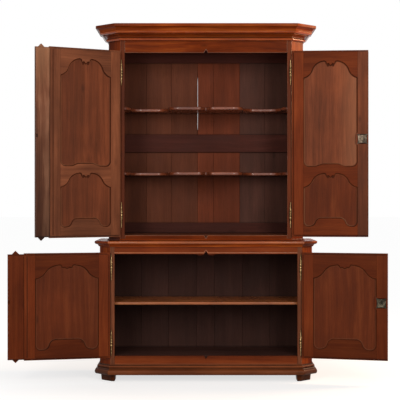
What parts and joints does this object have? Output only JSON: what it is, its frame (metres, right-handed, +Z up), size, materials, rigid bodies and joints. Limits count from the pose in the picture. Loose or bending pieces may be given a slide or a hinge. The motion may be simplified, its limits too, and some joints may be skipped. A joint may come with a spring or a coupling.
{
  "type": "kas cupboard",
  "caption": "Tall two-stage wooden cupboard with canted corners, moulded cornice and base, panelled doors standing open, wavy-fronted shelves, steeple hinges and locks.",
  "frame": {"origin": "on the floor, at the middle of the plan of the lower case", "axes": "+X to the right seen from the front, +Y to the back (the doors face -Y), +Z up"},
  "size_m": [2.4945, 0.7865, 2.39],
  "materials": {
    "frame_wood": "reddish brown stain, waxed",
    "moulding_wood": "reddish brown stain, polished",
    "panel_wood": "reddish brown stain, waxed",
    "inside_wood": "dark brown, dull with age",
    "brass": "worn, satin",
    "iron": "worn dark grey"
  },
  "bodies": {
    "case": {"feet": "moulding_wood", "base_moulding": "moulding_wood", "lower_sides": "frame_wood", "lower_corner_posts": "frame_wood", "lower_bottom_board": "inside_wood", "lower_bottom_rail": "frame_wood", "lower_top_rail": "frame_wood", "lower_top_board": "frame_wood", "lower_back_boards": "inside_wood", "lower_shelf": "inside_wood", "waist_mouldings": "moulding_wood", "upper_sides": "frame_wood", "upper_corner_posts": "frame_wood", "upper_bottom_board": "inside_wood", "upper_bottom_rail": "frame_wood", "upper_frieze": "frame_wood", "upper_top_board": "frame_wood", "cornice": "moulding_wood", "upper_back_boards": "inside_wood", "upper_back_rails": "inside_wood", "upper_high_shelf": "inside_wood", "upper_low_shelf": "inside_wood", "shelf_ledgers": "inside_wood", "case_hinge_halves": "brass"},
    "upper_left_door": {"upper_left_hinge_stile": "frame_wood", "upper_left_meeting_stile": "frame_wood", "upper_left_bottom_rail": "frame_wood", "upper_left_middle_rail": "frame_wood", "upper_left_top_rail": "frame_wood", "upper_left_short_panel": "panel_wood", "upper_left_tall_panel": "panel_wood", "upper_left_door_hinge_halves": "brass", "upper_left_pilaster": "frame_wood"},
    "upper_right_door": {"upper_right_hinge_stile": "frame_wood", "upper_right_lock_stile": "frame_wood", "upper_right_bottom_rail": "frame_wood", "upper_right_middle_rail": "frame_wood", "upper_right_top_rail": "frame_wood", "upper_right_short_panel": "panel_wood", "upper_right_tall_panel": "panel_wood", "upper_right_door_hinge_halves": "brass", "upper_right_lock_case": "iron", "upper_right_escutcheon": "brass"},
    "lower_left_door": {"lower_left_hinge_stile": "frame_wood", "lower_left_meeting_stile": "frame_wood", "lower_left_bottom_rail": "frame_wood", "lower_left_top_rail": "frame_wood", "lower_left_panel": "panel_wood", "lower_left_door_hinge_halves": "brass", "lower_left_pilaster": "frame_wood"},
    "lower_right_door": {"lower_right_hinge_stile": "frame_wood", "lower_right_lock_stile": "frame_wood", "lower_right_bottom_rail": "frame_wood", "lower_right_top_rail": "frame_wood", "lower_right_panel": "panel_wood", "lower_right_door_hinge_halves": "brass", "lower_right_lock_case": "iron", "lower_right_escutcheon": "brass"},
    "upper_bolt": {"upper_right_lock_bolt": "iron"},
    "lower_bolt": {"lower_right_lock_bolt": "iron"}
  },
  "joints": [
    {"name": "upper_left_door_hinge", "type": "hinge", "parent": "case", "child": "upper_left_door", "pos_m": [-0.568, -0.2137, 1.5985], "axis": [0, 0, -1], "range_deg": [-151, 29]},
    {"name": "upper_right_door_hinge", "type": "hinge", "parent": "case", "child": "upper_right_door", "pos_m": [0.568, -0.2137, 1.5985], "axis": [0, 0, 1], "range_deg": [-175, 5]},
    {"name": "lower_left_door_hinge", "type": "hinge", "parent": "case", "child": "lower_left_door", "pos_m": [-0.632, -0.2687, 0.52], "axis": [0, 0, -1], "range_deg": [-167, 13]},
    {"name": "lower_right_door_hinge", "type": "hinge", "parent": "case", "child": "lower_right_door", "pos_m": [0.632, -0.2687, 0.52], "axis": [0, 0, 1], "range_deg": [-165.5, 14.5]},
    {"name": "upper_bolt_slide", "type": "slide", "parent": "upper_right_door", "child": "upper_bolt", "axis": [0.9962, -0.0872, 0], "range_m": [0, 0.012]},
    {"name": "lower_bolt_slide", "type": "slide", "parent": "lower_right_door", "child": "lower_bolt", "axis": [0.9681, -0.2504, 0], "range_m": [0, 0.012]}
  ]
}
